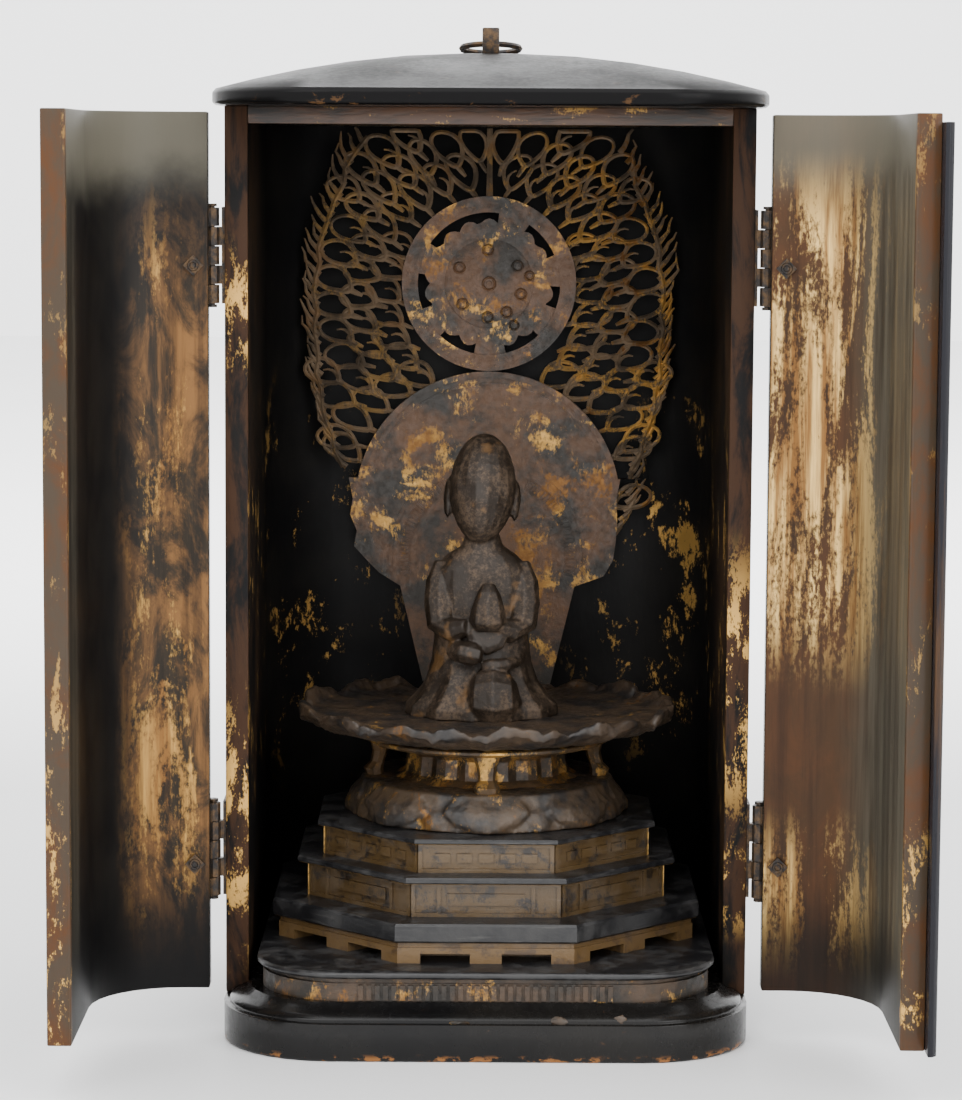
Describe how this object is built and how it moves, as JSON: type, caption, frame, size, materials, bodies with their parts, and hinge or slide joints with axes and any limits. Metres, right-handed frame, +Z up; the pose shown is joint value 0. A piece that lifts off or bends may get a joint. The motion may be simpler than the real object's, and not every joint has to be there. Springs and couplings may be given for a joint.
{
  "type": "portable shrine",
  "caption": "Lacquered wooden shrine box with two hinged curved doors, a seated figure on a lotus pedestal and an openwork mandorla inside.",
  "frame": {"origin": "centre of the plinth's underside", "axes": "+Z up, -Y to the open front, +X to the right as seen from the front"},
  "size_m": [0.2876, 0.2408, 0.35],
  "materials": {
    "black_lacquer": "gloss, worn",
    "door_lacquer": "worn, gold leaf remains",
    "pedestal_lacquer": "satin, dusty",
    "gilt_wood": "worn gilding",
    "carved_figure": "rough, worn",
    "iron_fittings": "aged, dark"
  },
  "bodies": {
    "cabinet": {"plinth": "black_lacquer", "case_shell": "black_lacquer", "ceiling_board": "black_lacquer", "lintel": "black_lacquer", "step_frieze": "pedestal_lacquer", "step_slab": "black_lacquer", "roof": "black_lacquer", "staple": "iron_fittings", "pedestal_feet": "pedestal_lacquer", "pedestal_lower_frieze": "pedestal_lacquer", "pedestal_upper_frieze": "pedestal_lacquer", "pedestal_petals": "pedestal_lacquer", "pedestal_drum": "pedestal_lacquer", "pedestal_leg_1": "pedestal_lacquer", "pedestal_leg_2": "pedestal_lacquer", "pedestal_leg_3": "pedestal_lacquer", "pedestal_leg_4": "pedestal_lacquer", "pedestal_plate": "pedestal_lacquer", "lotus_seat": "pedestal_lacquer", "figure": "carved_figure", "mandorla_upper": "gilt_wood", "mandorla_lower": "gilt_wood", "hinge_left_upper_case_leaf": "iron_fittings", "hinge_left_upper_pin": "iron_fittings", "hinge_left_lower_case_leaf": "iron_fittings", "hinge_left_lower_pin": "iron_fittings", "hinge_right_upper_case_leaf": "iron_fittings", "hinge_right_upper_pin": "iron_fittings", "hinge_right_lower_case_leaf": "iron_fittings", "hinge_right_lower_pin": "iron_fittings"},
    "door_left": {"door_left": "door_lacquer", "hinge_left_upper_door_leaf": "iron_fittings", "washer_left_upper": "iron_fittings", "hinge_left_lower_door_leaf": "iron_fittings", "washer_left_lower": "iron_fittings"},
    "door_right": {"door_right": "door_lacquer", "meeting_strip": "black_lacquer", "hinge_right_upper_door_leaf": "iron_fittings", "washer_right_upper": "iron_fittings", "hinge_right_lower_door_leaf": "iron_fittings", "washer_right_lower": "iron_fittings"},
    "ring": {"ring": "iron_fittings"}
  },
  "joints": [
    {"name": "left_door_hinge", "type": "hinge", "parent": "cabinet", "child": "door_left", "pos_m": [-0.0953, -0.04425, 0.16], "axis": [0, 0, 1], "range_deg": [-75, 90]},
    {"name": "right_door_hinge", "type": "hinge", "parent": "cabinet", "child": "door_right", "pos_m": [0.0953, -0.04425, 0.16], "axis": [0, 0, 1], "range_deg": [-90, 75]},
    {"name": "ring_hinge", "type": "hinge", "parent": "cabinet", "child": "ring", "pos_m": [0, 0, 0.34436], "axis": [1, 0, 0], "range_deg": [0, 180]}
  ]
}
